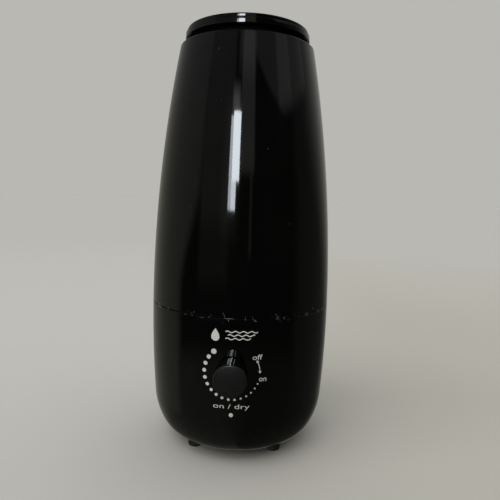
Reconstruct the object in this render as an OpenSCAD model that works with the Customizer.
// Ultrasonic cool mist humidifier: a tall glossy tank standing on a rounded base.
// Millimetres, +Z up, the feet on z = 0 and the knob facing -Y.
// The origin is the centre of the footprint of the whole object, so the round
// body's own axis stands a little behind it, because the knob sticks out in front.

/* [Body] */
// Largest diameter of the body
body_d = 165; // [160:1:170]
// Height of the seam where the tank sits on the base
seam_z = 131; // [130:0.5:132]
// Height of the tank's top edge
tank_top_z = 360.3; // [359:0.1:362]
// Wall thickness of the base's shell
base_wall = 2.5; // [2:0.1:3]
// Wall thickness of the tank
tank_wall = 2.2; // [2:0.1:2.6]

/* [Feet] */
// Diameter of a rubber foot
foot_d = 13; // [11:0.5:13]
// Distance of a foot's centre from the body's axis
foot_ring_r = 50.4; // [49:0.1:50.5]

/* [Knob] */
// Height of the knob's axis
knob_z = 85.5; // [84.5:0.5:86]
// Diameter of the knob
knob_d = 27; // [24:0.5:30]
// Distance of the knob's face from the body's axis
knob_face_y = 102.4; // [101:0.1:104]
// Height of the crown of the knob's face
knob_crown = 1.8; // [1:0.1:2]
// Number of grip ribs round the knob
knob_ribs = 28; // [24:1:40]

/* [Lid] */
// Height of the lid's top edge
lid_top_z = 375.3; // [375:0.1:376]
// Outer radius of the lid's band at its lower edge
lid_r = 56.2; // [55.8:0.1:56.4]

/* [Water valve] */
// Distance of the filler cap's axis from the body's axis
valve_r = 44; // [43.5:0.1:44.5]
// Outer radius of the filler cap
valve_cap_r = 23; // [22.8:0.1:23]

/* [Hidden] */
$fn = 96;
body_r = body_d / 2;
axis_y = (knob_face_y - body_r) / 2;

// The body's outline is tangent arcs: angles are those of the wall's normal below level.
side_arc_r = 1050;
shoulder_arc_r = 63.7;
heel_arc_r = 28.4;
side_a = 4.29;
shoulder_a = 26.95;
underside_z = 5.8;
upper_arc_r = 1260;
upper_arc_z = 126;
lower_arc_z = underside_z + side_arc_r * sin(side_a)
    + shoulder_arc_r * (sin(shoulder_a) - sin(side_a)) + heel_arc_r * (1 - sin(shoulder_a));
side_c = [body_r - side_arc_r, lower_arc_z];
shoulder_c = side_c + (side_arc_r - shoulder_arc_r) * [cos(side_a), -sin(side_a)];
heel_c = shoulder_c + (shoulder_arc_r - heel_arc_r) * [cos(shoulder_a), -sin(shoulder_a)];
upper_c = [body_r - upper_arc_r, upper_arc_z];
upper_end_a = asin((tank_top_z - upper_arc_z) / upper_arc_r);
// The bottom cover meets the shell at this angle of the heel.
cover_a = 61.6;
cover_gap_a = 0.6;
cover_t = 2.4;

function arc(c, r, a0, a1, n) =
    [for (i = [0:n]) let (a = a0 + (a1 - a0) * i / n) c + r * [cos(a), sin(a)]];
function reversed(list) = [for (i = [len(list) - 1:-1:0]) list[i]];
// Lower outline, from the widest level down to angle end_a, moved in by t.
function lower_outline(t, end_a) = concat(
    arc(side_c, side_arc_r - t, 0, -side_a, 6),
    arc(shoulder_c, shoulder_arc_r - t, -side_a - 2, -shoulder_a, 7),
    arc(heel_c, heel_arc_r - t, -shoulder_a - 3, -end_a, 9));
// Upper outline, from the widest level to the angle end_a above it, moved in by t.
function upper_outline(t, start_a, end_a) = arc(upper_c, upper_arc_r - t, start_a, end_a, 24);
function upper_angle(z) = asin((z - upper_arc_z) / upper_arc_r);

// Seam between base and tank
seam_gap = 0.6;
base_top_z = seam_z - seam_gap / 2;
tank_bottom_z = seam_z + seam_gap / 2;

// Water tray, the basin in the top of the base
tray_floor_z = 106;
tray_t = 2.2;
tray_wall_r = 77.2;
tray_flange_z = 123;
tray_flange_t = 2.4;
shell_r = body_r - base_wall;
ledge_t = 2.8;
well_r = 16;
well_floor_z = 94;
disc_z = well_floor_z - tray_t - 2.6;
disc_r = 10;
clamp_top_z = disc_z - 1.2;
clamp_screw_angles = [30, 150, 270];
clamp_screw_r = 14.8;
driver_board_z = 76;
driver_posts = [[21, -14], [43, -14], [6, 30], [43, 30]];

// Fan, duct and riser stand on one vertical axis at the body's left.
fan_x = -32;
fan_size = 50;
fan_z = 20;
fan_h = 15;
fan_bore_r = 23.6;
fan_hole_pitch = 40;
fan_pin_r = 1.5;
riser_r = 12;
riser_bore_r = 10.2;
riser_top_z = 124;
spigot_z = 97;
duct_bore_r = riser_r + 0.2;
duct_t = 1.2;
cover_screw_r = 52;
cover_screw_angles = [0, 110, 250];
// Posts on the bottom cover start inside its wall, and the shell's bosses start above it.
post_foot_z = 8.4;
boss_z = 12;
power_board_z = 15;

// Float and filler valve in the tray
float_at = [21, 36.4];
float_post_r = 2.5;
float_r = 9;
float_z = tray_floor_z + 0.4;
float_h = 7;
float_travel = 6;
float_clip_z = float_z + float_h + float_travel + 0.3;
valve_a = -60;
valve_at = valve_r * [cos(valve_a), sin(valve_a)];
tank_floor_z = 134;
tank_floor_t = 2.4;
neck_r = 20;
neck_bore_r = 17.5;
neck_end_z = 127;
cap_z = 122;
cap_t = 2;
cap_bore_r = neck_r + 0.4;
cap_rim_z = tank_floor_z - 0.4;
bridge_z = 139;
bridge_t = 2;
stem_r = 2.4;
stem_top_r = 1.9;
stem_tip_z = 116;
seal_z = cap_z + cap_t + 4.2;
seal_t = 2;
flange_t = 1.5;
push_pin_r = 3;

// Control panel behind the front wall
board_y = -64;
board_t = 1.6;
shaft_r = 3;
shaft_tip_y = -99.5;
bushing_r = 3.9;
collar_y = board_y - 2;
led_z = 49.1;
lens_r = 1.9;
gland_z = 40;
gland_bore_r = 3.4;
gland_body_r = 4.8;
gland_flange_r = 6.5;
gland_seat_y = 79.8;

// Lid and nozzle
lid_gap_z = 367;
collar_r = 48.8;
collar_end_z = 347;
plug_r = 47.5;
plug_end_z = 349;
seal_groove_z = plug_end_z + 6.5;
tube_r = 18;
tube_bore_r = 16;
tube_top_z = 352;
guide_r = tube_r + 0.6;
dish_z = 363.4;
dish_t = 2.2;
nozzle_tube_r = 15.4;
nozzle_hole_r = nozzle_tube_r + 0.08;
nozzle_r = 19.5;
nozzle_end_z = 354.4;
// Three mist slots open to the front.
slot_w = 6.4;
slot_pitch_a = 34;

gloss_black = [0.02, 0.02, 0.022];
satin_black = [0.06, 0.06, 0.062];
rubber_black = [0.05, 0.05, 0.05];
milky = [0.85, 0.87, 0.88];
grey_silicone = [0.8, 0.8, 0.78];
aluminium = [0.8, 0.8, 0.82];
steel = [0.7, 0.7, 0.72];
board_green = [0.05, 0.3, 0.15];

// Everything is drawn about the body's own axis.
module on_axis() { translate([0, axis_y, 0]) children(); }
module at(p, z = 0) { translate([p[0], p[1], z]) children(); }
module polar(a, r, z = 0) { rotate([0, 0, a]) translate([r, 0, z]) children(); }
module ring(r_out, r_in, h) {
    difference() {
        cylinder(r = r_out, h = h);
        translate([0, 0, -1]) cylinder(r = r_in, h = h + 2);
    }
}
// A cylinder from y0 to y1 at height z, in front of or behind the axis
module y_rod(r, y0, y1, z, x = 0) {
    translate([x, max(y0, y1), z]) rotate([90, 0, 0]) cylinder(r = r, h = abs(y1 - y0));
}
module block(low, high) { translate(low) cube(high - low); }
module screw(head_r, head_h, shank_r, length) {
    difference() {
        union() {
            cylinder(r = head_r, h = head_h);
            cylinder(r = shank_r, h = head_h + length);
        }
        for (a = [0, 90]) rotate([0, 0, a])
            translate([-head_r * 0.6, -0.4, -1]) cube([head_r * 1.2, 0.8, 1 + head_h * 0.6]);
    }
}

// ---- Feet and bottom cover

socket_z = 4.6;
socket_depth = 2;
socket_wall = 0.7;
socket_h = 4.8;
module foot(angle) {
    color(rubber_black) on_axis() polar(angle, foot_ring_r) rotate_extrude() polygon([
        [0, 0], [foot_d / 2 - 1, 0], [foot_d / 2, 1],
        [foot_d / 2, socket_z + socket_depth - 0.1], [0, socket_z + socket_depth - 0.1]]);
}
module foot_front_left() { foot(225); }
module foot_front_right() { foot(315); }
module foot_rear_left() { foot(135); }
module foot_rear_right() { foot(45); }

vent_pitch = 5;
vent_w = 2.2;
vent_r = 20;
module bottom_cover() {
    color(satin_black) on_axis() difference() {
        union() {
            rotate_extrude($fn = 144) polygon(concat(
                arc(heel_c, heel_arc_r, -cover_a - cover_gap_a, -90, 5),
                [[0, underside_z], [0, underside_z + cover_t]],
                arc(heel_c, heel_arc_r - cover_t, -90, -cover_a - cover_gap_a, 5)));
            for (a = [45:90:315]) polar(a, foot_ring_r, socket_z)
                cylinder(r = foot_d / 2 + socket_wall, h = socket_h);
            for (x = [-1, 1], y = [-1, 1]) let (foot_z = x > 0 ? underside_z + 1 : post_foot_z)
                translate([fan_x + x * fan_hole_pitch / 2, y * fan_hole_pitch / 2, foot_z])
                    cylinder(r = 2.6, h = fan_z - foot_z);
            for (x = [3, 41], y = [-26, 26])
                translate([x, y, underside_z + 1]) cylinder(r = 2.4, h = power_board_z - underside_z - 1);
            for (a = cover_screw_angles) polar(a, cover_screw_r, post_foot_z)
                cylinder(r = 3.6, h = boss_z - 0.2 - post_foot_z);
        }
        for (a = [45:90:315]) polar(a, foot_ring_r, socket_z - 1)
            cylinder(r = foot_d / 2 + 0.05, h = 1 + socket_depth);
        for (x = [-1, 1], y = [-1, 1])
            translate([fan_x + x * fan_hole_pitch / 2, y * fan_hole_pitch / 2, 12]) cylinder(r = 1.5, h = 20);
        for (a = cover_screw_angles) polar(a, cover_screw_r, 0) {
            cylinder(r = 1.8, h = 20);
            cylinder(r = 3.3, h = underside_z + 1.1);
        }
        for (i = [-3:3]) {
            half = sqrt(vent_r * vent_r - pow(i * vent_pitch, 2)) - 1;
            y = i * vent_pitch;
            block([fan_x - half, y - vent_w / 2, 0], [fan_x + half, y + vent_w / 2, 12]);
        }
    }
}
module cover_screws() {
    color(steel) on_axis() for (a = cover_screw_angles)
        polar(a, cover_screw_r, underside_z - 0.2) screw(2.9, 1.2, 1.45, 15);
}

// ---- Base shell

module shell_outline_cut() {
    rotate_extrude($fn = 144) polygon(concat(
        [[0, base_top_z]], [[body_r - 1, base_top_z]], lower_outline(1, cover_a), [[0, heel_c[1] - heel_arc_r]]));
}
module screw_boss() {
    difference() {
        union() {
            translate([cover_screw_r, 0, boss_z]) cylinder(r = 3.6, h = 15);
            translate([cover_screw_r, -1, boss_z]) cube([body_r - cover_screw_r, 2, 15]);
        }
        translate([cover_screw_r, 0, 0]) cylinder(r = 1.5, h = 24);
    }
}
module base_shell() {
    color(gloss_black) on_axis() difference() {
        union() {
            rotate_extrude($fn = 144) polygon(concat(
                [[body_r, base_top_z]], lower_outline(0, cover_a),
                reversed(lower_outline(base_wall, cover_a)), [[shell_r, base_top_z]]));
            rotate_extrude() polygon([
                [shell_r + 1, tray_flange_z - tray_flange_t - ledge_t - 2.5],
                [shell_r + 1, tray_flange_z - tray_flange_t - 0.1],
                [tray_wall_r + 0.5, tray_flange_z - tray_flange_t - 0.1],
                [tray_wall_r + 0.5, tray_flange_z - tray_flange_t - ledge_t]]);
            intersection() {
                for (a = cover_screw_angles) rotate([0, 0, a]) screw_boss();
                shell_outline_cut();
            }
            y_rod(gland_flange_r + 0.6, gland_seat_y - 4.4, gland_seat_y, gland_z);
        }
        y_rod(bushing_r + 0.3, -body_r - 1, -shell_r + 4, knob_z);
        y_rod(lens_r, -body_r - 1, -shell_r + 5, led_z);
        y_rod(gland_body_r + 0.05, gland_seat_y - 10, gland_seat_y + 1, gland_z);
    }
}

// ---- Water tray with the transducer, the float post, the air riser and the valve's push pin

module water_tray() {
    color(satin_black) on_axis() difference() {
        union() {
            rotate_extrude() polygon([
                [well_r, well_floor_z], [well_r, tray_floor_z], [tray_wall_r - tray_t, tray_floor_z],
                [tray_wall_r - tray_t, tray_flange_z], [shell_r - 0.3, tray_flange_z],
                [shell_r - 0.3, tray_flange_z - tray_flange_t], [tray_wall_r, tray_flange_z - tray_flange_t],
                [tray_wall_r, tray_floor_z - tray_t], [well_r + tray_t, tray_floor_z - tray_t],
                [well_r + tray_t, well_floor_z - tray_t], [8.5, well_floor_z - tray_t], [8.5, well_floor_z]]);
            at([fan_x, 0], spigot_z) cylinder(r = riser_r, h = riser_top_z - spigot_z);
            at(float_at, tray_floor_z - 1) cylinder(r = float_post_r, h = float_clip_z + 1.3 - tray_floor_z + 1);
            at(valve_at, tray_floor_z - 1) cylinder(r = push_pin_r, h = stem_tip_z - 0.2 - tray_floor_z + 1);
            for (a = [0:60:300]) at(valve_at, tray_floor_z - 1) rotate([0, 0, a])
                translate([0, -0.7, 0]) cube([6, 1.4, 6]);
            for (a = clamp_screw_angles) polar(a, clamp_screw_r, clamp_top_z)
                cylinder(r = 2.2, h = well_floor_z - tray_t - clamp_top_z + 0.5);
            for (p = driver_posts) at(p, driver_board_z + board_t)
                cylinder(r = 2.4, h = tray_floor_z - 1 - driver_board_z - board_t);
        }
        at([fan_x, 0], spigot_z - 1) cylinder(r = riser_bore_r, h = riser_top_z - spigot_z + 2);
        for (a = clamp_screw_angles) polar(a, clamp_screw_r, clamp_top_z - 1) cylinder(r = 0.9, h = 4.8);
    }
}
module transducer_disc() {
    color([0.75, 0.72, 0.6]) on_axis() translate([0, 0, disc_z]) cylinder(r = disc_r, h = 1.3);
}
module transducer_seal() {
    color(grey_silicone) on_axis() rotate_extrude() polygon([
        [8.5, well_floor_z - tray_t - 0.05], [12, well_floor_z - tray_t - 0.05], [12, disc_z - 1.2],
        [8.5, disc_z - 1.2], [8.5, disc_z - 0.02], [disc_r + 0.02, disc_z - 0.02],
        [disc_r + 0.02, disc_z + 1.32], [8.5, disc_z + 1.32]]);
}
module transducer_clamp() {
    color(steel) on_axis() translate([0, 0, clamp_top_z - 1.6]) difference() {
        union() {
            cylinder(r = 12.4, h = 1.55);
            for (a = clamp_screw_angles) polar(a, clamp_screw_r) cylinder(r = 2.6, h = 1.55);
        }
        translate([0, 0, -1]) cylinder(r = 8, h = 4);
        for (a = clamp_screw_angles) polar(a, clamp_screw_r, -1) cylinder(r = 1.15, h = 4);
    }
}
module transducer_screws() {
    color(steel) on_axis() for (a = clamp_screw_angles)
        polar(a, clamp_screw_r, clamp_top_z - 1.6 - 1.3) screw(1.9, 1.25, 0.85, 5);
}
module float_disc() {
    color(milky) on_axis() at(float_at, float_z) difference() {
        rotate_extrude() polygon([
            [float_post_r + 0.1, 0], [float_r - 0.8, 0], [float_r, 0.8], [float_r, float_h - 0.8],
            [float_r - 0.8, float_h], [float_post_r + 0.1, float_h]]);
        translate([0, 0, -1]) ring(6.05, 3.55, 3.8);
    }
}
module float_magnet() {
    color([0.3, 0.3, 0.32]) on_axis() at(float_at, float_z + 0.3) ring(6, 3.6, 2.4);
}
module float_clip() {
    color(satin_black) on_axis() at(float_at, float_clip_z) ring(5, float_post_r, 1.2);
}

// ---- Fan and duct

module fan_housing() {
    color(satin_black) on_axis() at([fan_x, 0], fan_z) {
        difference() {
            translate([-fan_size / 2, -fan_size / 2, 0]) cube([fan_size, fan_size, fan_h]);
            translate([0, 0, -1]) cylinder(r = fan_bore_r, h = fan_h + 2);
            for (x = [-1, 1], y = [-1, 1])
                translate([x * fan_hole_pitch / 2, y * fan_hole_pitch / 2, -1])
                    cylinder(r = 2.1, h = fan_h + 2);
        }
        cylinder(r = 12, h = 1.8);
        for (a = [45:90:315]) rotate([0, 0, a]) translate([11, -1.5, 0]) cube([fan_bore_r - 10, 3, 1.8]);
        translate([0, 0, 1]) cylinder(r = fan_pin_r, h = 10);
    }
}
module fan_impeller() {
    color(satin_black) on_axis() at([fan_x, 0], fan_z + 2.3) {
        rotate_extrude() polygon([
            [fan_pin_r + 0.06, 3], [5, 3], [5, 10.4], [11, 10.4], [11, 0], [12, 0], [12, 11],
            [11, 12], [0, 12], [0, 10], [fan_pin_r + 0.06, 10]]);
        intersection() {
            for (a = [0:360 / 7:359]) rotate([0, 0, a])
                translate([17.3, 0, 6]) rotate([38, 0, 0]) cube([12, 13, 1.2], center = true);
            translate([0, 0, 0.8]) ring(fan_bore_r - 0.9, 11.6, 10.6);
        }
    }
}
module fan_screws() {
    color(steel) on_axis() for (x = [-1, 1], y = [-1, 1])
        translate([fan_x + x * fan_hole_pitch / 2, y * fan_hole_pitch / 2, fan_z + fan_h + 1.9])
            mirror([0, 0, 1]) screw(2.7, 1.8, 1.45, 21);
}
module air_duct() {
    color(satin_black) on_axis() at([fan_x, 0]) rotate_extrude() polygon([
        [fan_bore_r, fan_z + fan_h], [fan_bore_r + 1.2, fan_z + fan_h], [fan_bore_r + 1.2, fan_z + fan_h + 2],
        [duct_bore_r + duct_t, fan_z + fan_h + 18], [duct_bore_r + duct_t, tray_floor_z - tray_t - 0.2],
        [duct_bore_r, tray_floor_z - tray_t - 0.2], [duct_bore_r, fan_z + fan_h + 18.6],
        [fan_bore_r, fan_z + fan_h + 2.6]]);
}

// ---- Electronics

module driver_board() {
    color(board_green) on_axis() difference() {
        block([2, -17, driver_board_z], [46, 33, driver_board_z + board_t - 0.05]);
        for (p = driver_posts) at(p, driver_board_z - 1) cylinder(r = 1.3, h = 4);
    }
}
module heat_sink() {
    color(aluminium) on_axis() {
        block([6, 14, 72.5], [36, 28, 76]);
        for (i = [0:6]) block([6 + i * 4.7, 14, 58], [7.8 + i * 4.7, 28, 73]);
    }
}
module power_transistor() {
    color([0.08, 0.08, 0.08]) on_axis() {
        block([16, 6.5, 64], [26, 11, 74]);
        block([16, 11, 60], [26, 12.3, 74]);
        for (i = [-1:1]) block([20.7 + i * 2.5, 8.5, 73], [21.4 + i * 2.5, 9.2, 76]);
    }
}
module driver_coil() {
    color([0.7, 0.4, 0.2]) on_axis() translate([34, -4, 63]) {
        cylinder(r = 7, h = 1.5);
        cylinder(r = 5.2, h = 13);
        translate([0, 0, 11.5]) cylinder(r = 7, h = 1.5);
    }
}
module power_board() {
    color(board_green) on_axis() difference() {
        block([0, -30, power_board_z], [44, 30, power_board_z + board_t]);
        for (x = [3, 41], y = [-26, 26]) translate([x, y, 10]) cylinder(r = 1.2, h = 10);
    }
}
module power_transformer() {
    color([0.25, 0.22, 0.18]) on_axis() {
        top = power_board_z + board_t;
        block([8, -22, top], [38, -16, top + 25]);
        block([8, -4, top], [38, 2, top + 25]);
        block([8, -17, top], [16, -3, top + 25]);
        block([30, -17, top], [38, -3, top + 25]);
        block([17, -16, top + 4], [29, -4, top + 21]);
        block([15, -16, top + 10], [31, -4, top + 15]);
    }
}
module power_capacitors() {
    color([0.1, 0.12, 0.3]) on_axis() for (x = [10, 24], y = [14])
        translate([x, y, power_board_z + board_t]) cylinder(r = 5, h = 18);
}
module control_board() {
    color(board_green) on_axis() difference() {
        block([-20, board_y, 40], [20, board_y + board_t, 99]);
        for (x = [-16, 16], z = [44, 95]) y_rod(1.6, board_y - 1, board_y + board_t + 1, z, x);
    }
}
module potentiometer_body() {
    color([0.55, 0.55, 0.5]) on_axis() difference() {
        union() {
            y_rod(8.5, board_y, board_y - 8, knob_z);
            y_rod(bushing_r, board_y - 7, -84.4, knob_z);
        }
        y_rod(shaft_r + 0.05, collar_y, -85, knob_z);
        y_rod(shaft_r + 0.6, collar_y, collar_y - 3, knob_z);
    }
}
module indicator_led() {
    color([0.9, 0.3, 0.2]) on_axis() {
        y_rod(1.9, board_y, board_y - 1, led_z);
        y_rod(1.5, board_y - 0.5, board_y - 5, led_z);
    }
}
module indicator_lens() {
    color([0.9, 0.9, 0.88]) on_axis() {
        intersection() {
            y_rod(lens_r - 0.05, board_y - 5.5, -body_r, led_z);
            rotate_extrude($fn = 144) polygon(concat([[0, base_top_z]], [[body_r, base_top_z]],
                lower_outline(0, cover_a), [[0, heel_c[1] - heel_arc_r]]));
        }
        y_rod(3, board_y - 9, board_y - 10.5, led_z);
    }
}
module cord_gland() {
    color(rubber_black) on_axis() difference() {
        union() {
            y_rod(gland_flange_r, gland_seat_y + 0.02, gland_seat_y + 2.4, gland_z);
            y_rod(gland_body_r, gland_seat_y - 9.6, gland_seat_y + 1, gland_z);
        }
        y_rod(gland_bore_r, gland_seat_y - 11, gland_seat_y + 3, gland_z);
    }
}

// ---- Knob and its shaft

shaft_flat = 1.5;
flat_start_y = -88;
knob_back_y = -83.2;
knob_face_t = 3;
knob_edge_r = 1.2;
knob_wall_t = 2.2;
knob_rib_depth = 0.5;
knob_rib_h = 15.2;
module d_rod(r, flat, y0, y1) {
    intersection() {
        y_rod(r, y0, y1, knob_z);
        block([-r - 1, min(y0, y1) - 1, knob_z - r - 1], [r + 1, max(y0, y1) + 1, knob_z + flat]);
    }
}
module potentiometer_shaft() {
    color(steel) on_axis() {
        y_rod(shaft_r, collar_y - 0.3, flat_start_y, knob_z);
        y_rod(shaft_r + 0.5, collar_y - 0.3, collar_y - 2.7, knob_z);
        d_rod(shaft_r, shaft_flat, flat_start_y + 1, shaft_tip_y);
    }
}
// The knob's outline from its face's centre: a shallow sphere, then the rounded edge.
function knob_face_outline() =
    let (rim_r = knob_d / 2 - knob_rib_depth,
        crown_r = (rim_r * rim_r + knob_crown * knob_crown) / (2 * knob_crown),
        crown_c = [0, knob_face_y - crown_r],
        edge_a = acos((rim_r - knob_edge_r) / (crown_r - knob_edge_r)),
        edge_c = crown_c + (crown_r - knob_edge_r) * [cos(edge_a), sin(edge_a)])
    concat([[0, knob_face_y]], arc(crown_c, crown_r, 88, edge_a, 8), arc(edge_c, knob_edge_r, edge_a * 0.75, 0, 3));
module knob() {
    color(satin_black) on_axis() {
        translate([0, 0, knob_z]) rotate([90, 0, 0]) difference() {
            union() {
                rotate_extrude() polygon(concat([[0, knob_face_y - knob_face_t]], knob_face_outline(), [
                    [knob_d / 2 - knob_rib_depth, -knob_back_y], [knob_d / 2 - knob_wall_t, -knob_back_y],
                    [knob_d / 2 - knob_wall_t, knob_face_y - knob_face_t]]));
                for (i = [0:knob_ribs - 1]) rotate([0, 0, 360 * i / knob_ribs])
                    translate([knob_d / 2 - 1.2, -0.5, -knob_back_y]) cube([1.2, 1, knob_rib_h]);
                translate([0, 0, 0.3 - flat_start_y]) cylinder(r = 5, h = knob_face_y + flat_start_y - 1);
            }
            rotate([-90, 0, 0]) translate([0, 0, -knob_z])
                d_rod(shaft_r + 0.05, shaft_flat + 0.05, -80, shaft_tip_y - 0.3);
        }
    }
}

// ---- Tank

module tank_shell() {
    start_a = upper_angle(tank_bottom_z);
    color(gloss_black) on_axis() {
        rotate_extrude($fn = 144) polygon(concat(
            upper_outline(0, start_a, upper_end_a - 0.02),
            [[upper_c[0] + upper_arc_r * cos(upper_end_a) - 0.5, tank_top_z]],
            [[collar_r, tank_top_z], [collar_r, collar_end_z], [collar_r + 2, collar_end_z],
             [collar_r + 2, tank_top_z - 2.6]],
            reversed(upper_outline(tank_wall, start_a, upper_angle(tank_top_z - 2.6)))));
    }
}
skirt_r = shell_r - 0.8;
module tank_floor() {
    color(gloss_black) on_axis() difference() {
        union() {
            translate([0, 0, tank_floor_z])
                cylinder(r = body_r - tank_wall - 0.1, h = tank_floor_t, $fn = 144);
            translate([0, 0, tray_flange_z + 0.2]) ring(skirt_r, skirt_r - 2.2, tank_floor_z - tray_flange_z);
            at(valve_at, neck_end_z) cylinder(r = neck_r, h = tank_floor_z - neck_end_z + 1);
        }
        translate([0, 0, tank_floor_z - 1]) cylinder(r = tube_r + 0.05, h = 5);
        at(valve_at, neck_end_z - 1) cylinder(r = neck_bore_r, h = 15);
    }
}
module mist_tube() {
    color(satin_black) on_axis() translate([0, 0, tank_floor_z - 4])
        ring(tube_r, tube_bore_r, tube_top_z - tank_floor_z + 4);
}

// ---- Filler cap with its spring valve

module valve_cap() {
    color(satin_black) on_axis() at(valve_at) difference() {
        union() {
            rotate_extrude() polygon([
                [0, cap_z], [valve_cap_r - 1, cap_z], [valve_cap_r, cap_z + 1], [valve_cap_r, cap_rim_z],
                [cap_bore_r, cap_rim_z], [cap_bore_r, cap_z + cap_t], [0, cap_z + cap_t]]);
            for (i = [0:23]) rotate([0, 0, 15 * i]) translate([valve_cap_r - 0.6, -0.7, cap_z + 1])
                cube([1.2, 1.4, cap_rim_z - cap_z - 2]);
            for (a = [0, 120, 240]) polar(a, 12.6, cap_z + 1) cylinder(r = 1.5, h = bridge_z - cap_z);
            translate([0, 0, bridge_z]) cylinder(r = 14.4, h = bridge_t);
        }
        translate([0, 0, cap_z - 1]) cylinder(r = stem_r + 0.1, h = cap_t + 2);
        for (a = [0:60:300]) polar(a, 5.4, cap_z - 1) cylinder(r = 1.5, h = cap_t + 2);
        translate([0, 0, bridge_z - 1]) cylinder(r = stem_top_r + 0.1, h = bridge_t + 2);
        for (a = [60, 180, 300]) polar(a, 8.4, bridge_z - 1) cylinder(r = 3, h = bridge_t + 2);
    }
}
module valve_cap_gasket() {
    color(grey_silicone) on_axis() at(valve_at, cap_z + cap_t + 0.02)
        ring(neck_r, neck_bore_r, neck_end_z - cap_z - cap_t - 0.3);
}
module valve_plunger() {
    color(milky) on_axis() at(valve_at) rotate_extrude() polygon([
        [0, stem_tip_z], [stem_r - 0.5, stem_tip_z], [stem_r, stem_tip_z + 0.5], [stem_r, seal_z + seal_t],
        [7, seal_z + seal_t], [7, seal_z + seal_t + flange_t], [stem_top_r, seal_z + seal_t + flange_t],
        [stem_top_r, bridge_z + bridge_t + 3], [0, bridge_z + bridge_t + 3]]);
}
module valve_seal() {
    color(grey_silicone) on_axis() at(valve_at, seal_z) ring(8.4, stem_r, seal_t - 0.02);
}
spring_wire_r = 0.4;
spring_coil_r = 3.6;
spring_turns = 4;
spring_steps = 16;
spring_sides = 6;
module valve_spring() {
    low = seal_z + seal_t + flange_t + spring_wire_r + 0.05;
    high = bridge_z - spring_wire_r - 0.05;
    count = spring_turns * spring_steps;
    rings = [for (i = [0:count]) let (a = 360 * i / spring_steps, z = low + (high - low) * i / count)
        [for (j = [0:spring_sides - 1]) let (b = 360 * j / spring_sides,
            r = spring_coil_r + spring_wire_r * cos(b)) [r * cos(a), r * sin(a), z + spring_wire_r * sin(b)]]];
    points = [for (one = rings, p = one) p];
    sides = [for (i = [0:count - 1], j = [0:spring_sides - 1]) let (k = (j + 1) % spring_sides)
        [i * spring_sides + j, i * spring_sides + k, (i + 1) * spring_sides + k, (i + 1) * spring_sides + j]];
    ends = [[for (j = [spring_sides - 1:-1:0]) j],
        [for (j = [0:spring_sides - 1]) count * spring_sides + j]];
    color(steel) on_axis() at(valve_at) polyhedron(points, concat(sides, ends));
}

// ---- Lid with its turning nozzle

module lid_cover() {
    color(gloss_black) on_axis() rotate_extrude($fn = 144) polygon([
        [nozzle_hole_r, dish_z - dish_t], [nozzle_hole_r, dish_z], [22.5, dish_z], [25.5, dish_z + 2.4],
        [44, lid_top_z - 2.6], [47.5, lid_top_z - 0.6], [49, lid_top_z], [lid_r - 2.6, lid_top_z],
        [lid_r - 1.8, lid_top_z - 0.4], [lid_r - 1.5, lid_top_z - 1.3], [lid_r - 1.4, lid_top_z - 3.6],
        [lid_r - 1.7, lid_top_z - 3.8], [lid_r - 1.6, lid_top_z - 4.2], [lid_r - 0.6, lid_top_z - 4.3],
        [lid_r - 0.2, lid_top_z - 4.7], [lid_r, lid_gap_z + 0.5], [lid_r - 0.4, lid_gap_z],
        [lid_r - 2, lid_gap_z], [lid_r - 2, lid_gap_z + 1.4], [lid_r - 3.6, lid_top_z - 5],
        [48, lid_top_z - 2.8], [44.4, lid_top_z - 4.8], [26, dish_z - 0.2], [23.5, dish_z - dish_t]]);
}
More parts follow.
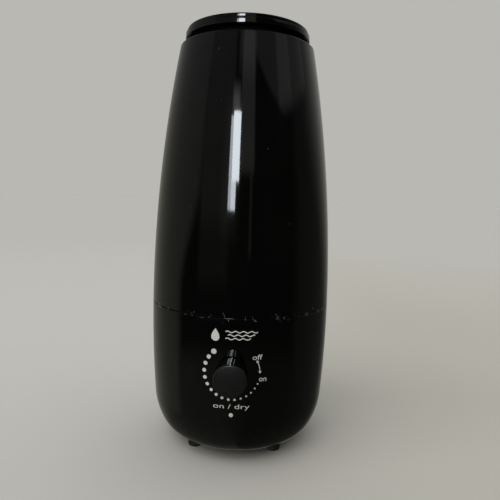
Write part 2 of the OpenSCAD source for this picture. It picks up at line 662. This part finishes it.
module lid_plug() {
    guide_top_z = dish_z - dish_t - 0.4;
    color(satin_black) on_axis() rotate_extrude() polygon([
        [guide_r, plug_end_z - 8], [guide_r, guide_top_z], [guide_r + 2, guide_top_z],
        [guide_r + 2, plug_end_z + 2], [plug_r - 2.2, plug_end_z + 2], [plug_r - 2.2, lid_gap_z + 1.2],
        [lid_r - 2.1, lid_gap_z + 1.2], [lid_r - 2.1, lid_gap_z], [plug_r + 2.5, lid_gap_z - 0.6],
        [plug_r + 2.5, tank_top_z + 0.2], [plug_r, tank_top_z + 0.2], [plug_r, seal_groove_z + 1.1],
        [plug_r - 1.05, seal_groove_z + 1.1], [plug_r - 1.05, seal_groove_z - 1.1], [plug_r, seal_groove_z - 1.1],
        [plug_r, plug_end_z + 1], [plug_r - 1, plug_end_z], [guide_r + 2, plug_end_z],
        [guide_r + 2, plug_end_z - 8]]);
}
module lid_seal() {
    color(grey_silicone) on_axis() rotate_extrude()
        translate([plug_r, seal_groove_z]) circle(r = 1, $fn = 24);
}
module mist_nozzle() {
    color(gloss_black) on_axis() difference() {
        rotate_extrude() polygon([
            [nozzle_tube_r, nozzle_end_z], [nozzle_tube_r, dish_z + 0.3], [nozzle_r, dish_z + 0.3],
            [nozzle_r, dish_z + 2.3],
            [nozzle_r - 1.6, dish_z + 7.4], [nozzle_r - 4, dish_z + 9.8], [nozzle_r - 7, lid_top_z - 0.6],
            [0, lid_top_z - 0.6], [0, lid_top_z - 2.6], [nozzle_r - 7.4, lid_top_z - 2.6],
            [nozzle_tube_r - 2, dish_z + 7], [nozzle_tube_r - 2, nozzle_end_z]]);
        for (i = [-1:1]) rotate([0, 0, slot_pitch_a * i])
            block([-slot_w / 2, -nozzle_r - 1, dish_z + 3.2], [slot_w / 2, -8, dish_z + 9.2]);
    }
}
module nozzle_ring() {
    color(satin_black) on_axis() translate([0, 0, dish_z - dish_t - 2.3])
        ring(guide_r - 0.4, nozzle_tube_r, 2);
}

foot_front_left();
foot_front_right();
foot_rear_left();
foot_rear_right();
bottom_cover();
cover_screws();
base_shell();
water_tray();
transducer_disc();
transducer_seal();
transducer_clamp();
transducer_screws();
float_clip();
fan_housing();
fan_screws();
air_duct();
driver_board();
heat_sink();
power_transistor();
driver_coil();
power_board();
power_transformer();
power_capacitors();
control_board();
potentiometer_body();
indicator_led();
indicator_lens();
cord_gland();
potentiometer_shaft();
knob();
float_disc();
float_magnet();
fan_impeller();
tank_shell();
tank_floor();
mist_tube();
valve_cap();
valve_cap_gasket();
valve_plunger();
valve_seal();
valve_spring();
lid_cover();
lid_plug();
lid_seal();
mist_nozzle();
nozzle_ring();
